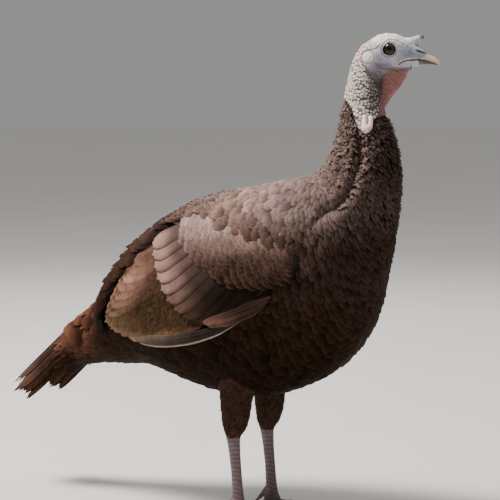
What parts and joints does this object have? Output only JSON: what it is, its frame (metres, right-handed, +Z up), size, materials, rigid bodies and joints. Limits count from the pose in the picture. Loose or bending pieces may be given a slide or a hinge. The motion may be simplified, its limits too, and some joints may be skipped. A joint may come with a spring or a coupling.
{
  "type": "domestic turkey hen",
  "caption": "Domestic turkey hen with chocolate-brown plumage, standing, head up and turned to her left, wings folded, tail closed, small snood and throat wattle.",
  "frame": {"origin": "on the floor, under the middle of the bird's bounding box", "axes": "+X is the way she faces and her longest extent, +Y her left, +Z up"},
  "size_m": [0.7366, 0.263, 0.6958],
  "materials": {
    "brown_feathers": "matte",
    "wing_feathers": "satin",
    "tail_feathers": "matte",
    "bare_skin": "satin",
    "red_skin": "satin",
    "horn": "satin",
    "leg_scales": "satin",
    "eye": "gloss"
  },
  "bodies": {
    "root": {"trunk": "brown_feathers", "neck_base": "brown_feathers", "neck": "brown_feathers", "head": "bare_skin", "tail_coverts": "tail_feathers", "tail": "tail_feathers", "wing_right": "wing_feathers", "wing_left": "wing_feathers", "primaries_right": "wing_feathers", "primaries_left": "wing_feathers", "thigh_right": "brown_feathers", "thigh_left": "brown_feathers", "shank_right": "leg_scales", "shank_left": "leg_scales", "toe_middle_right": "leg_scales", "claw_middle_right": "horn", "toe_inner_right": "leg_scales", "claw_inner_right": "horn", "toe_outer_right": "leg_scales", "claw_outer_right": "horn", "toe_hind_right": "leg_scales", "claw_hind_right": "horn", "toe_middle_left": "leg_scales", "claw_middle_left": "horn", "toe_inner_left": "leg_scales", "claw_inner_left": "horn", "toe_outer_left": "leg_scales", "claw_outer_left": "horn", "toe_hind_left": "leg_scales", "claw_hind_left": "horn", "bill_upper": "horn", "bill_lower": "horn", "snood": "bare_skin", "wattle": "red_skin", "caruncle_right": "bare_skin", "caruncle_left": "bare_skin", "eye_right": "eye", "eye_left": "eye"}
  },
  "joints": []
}
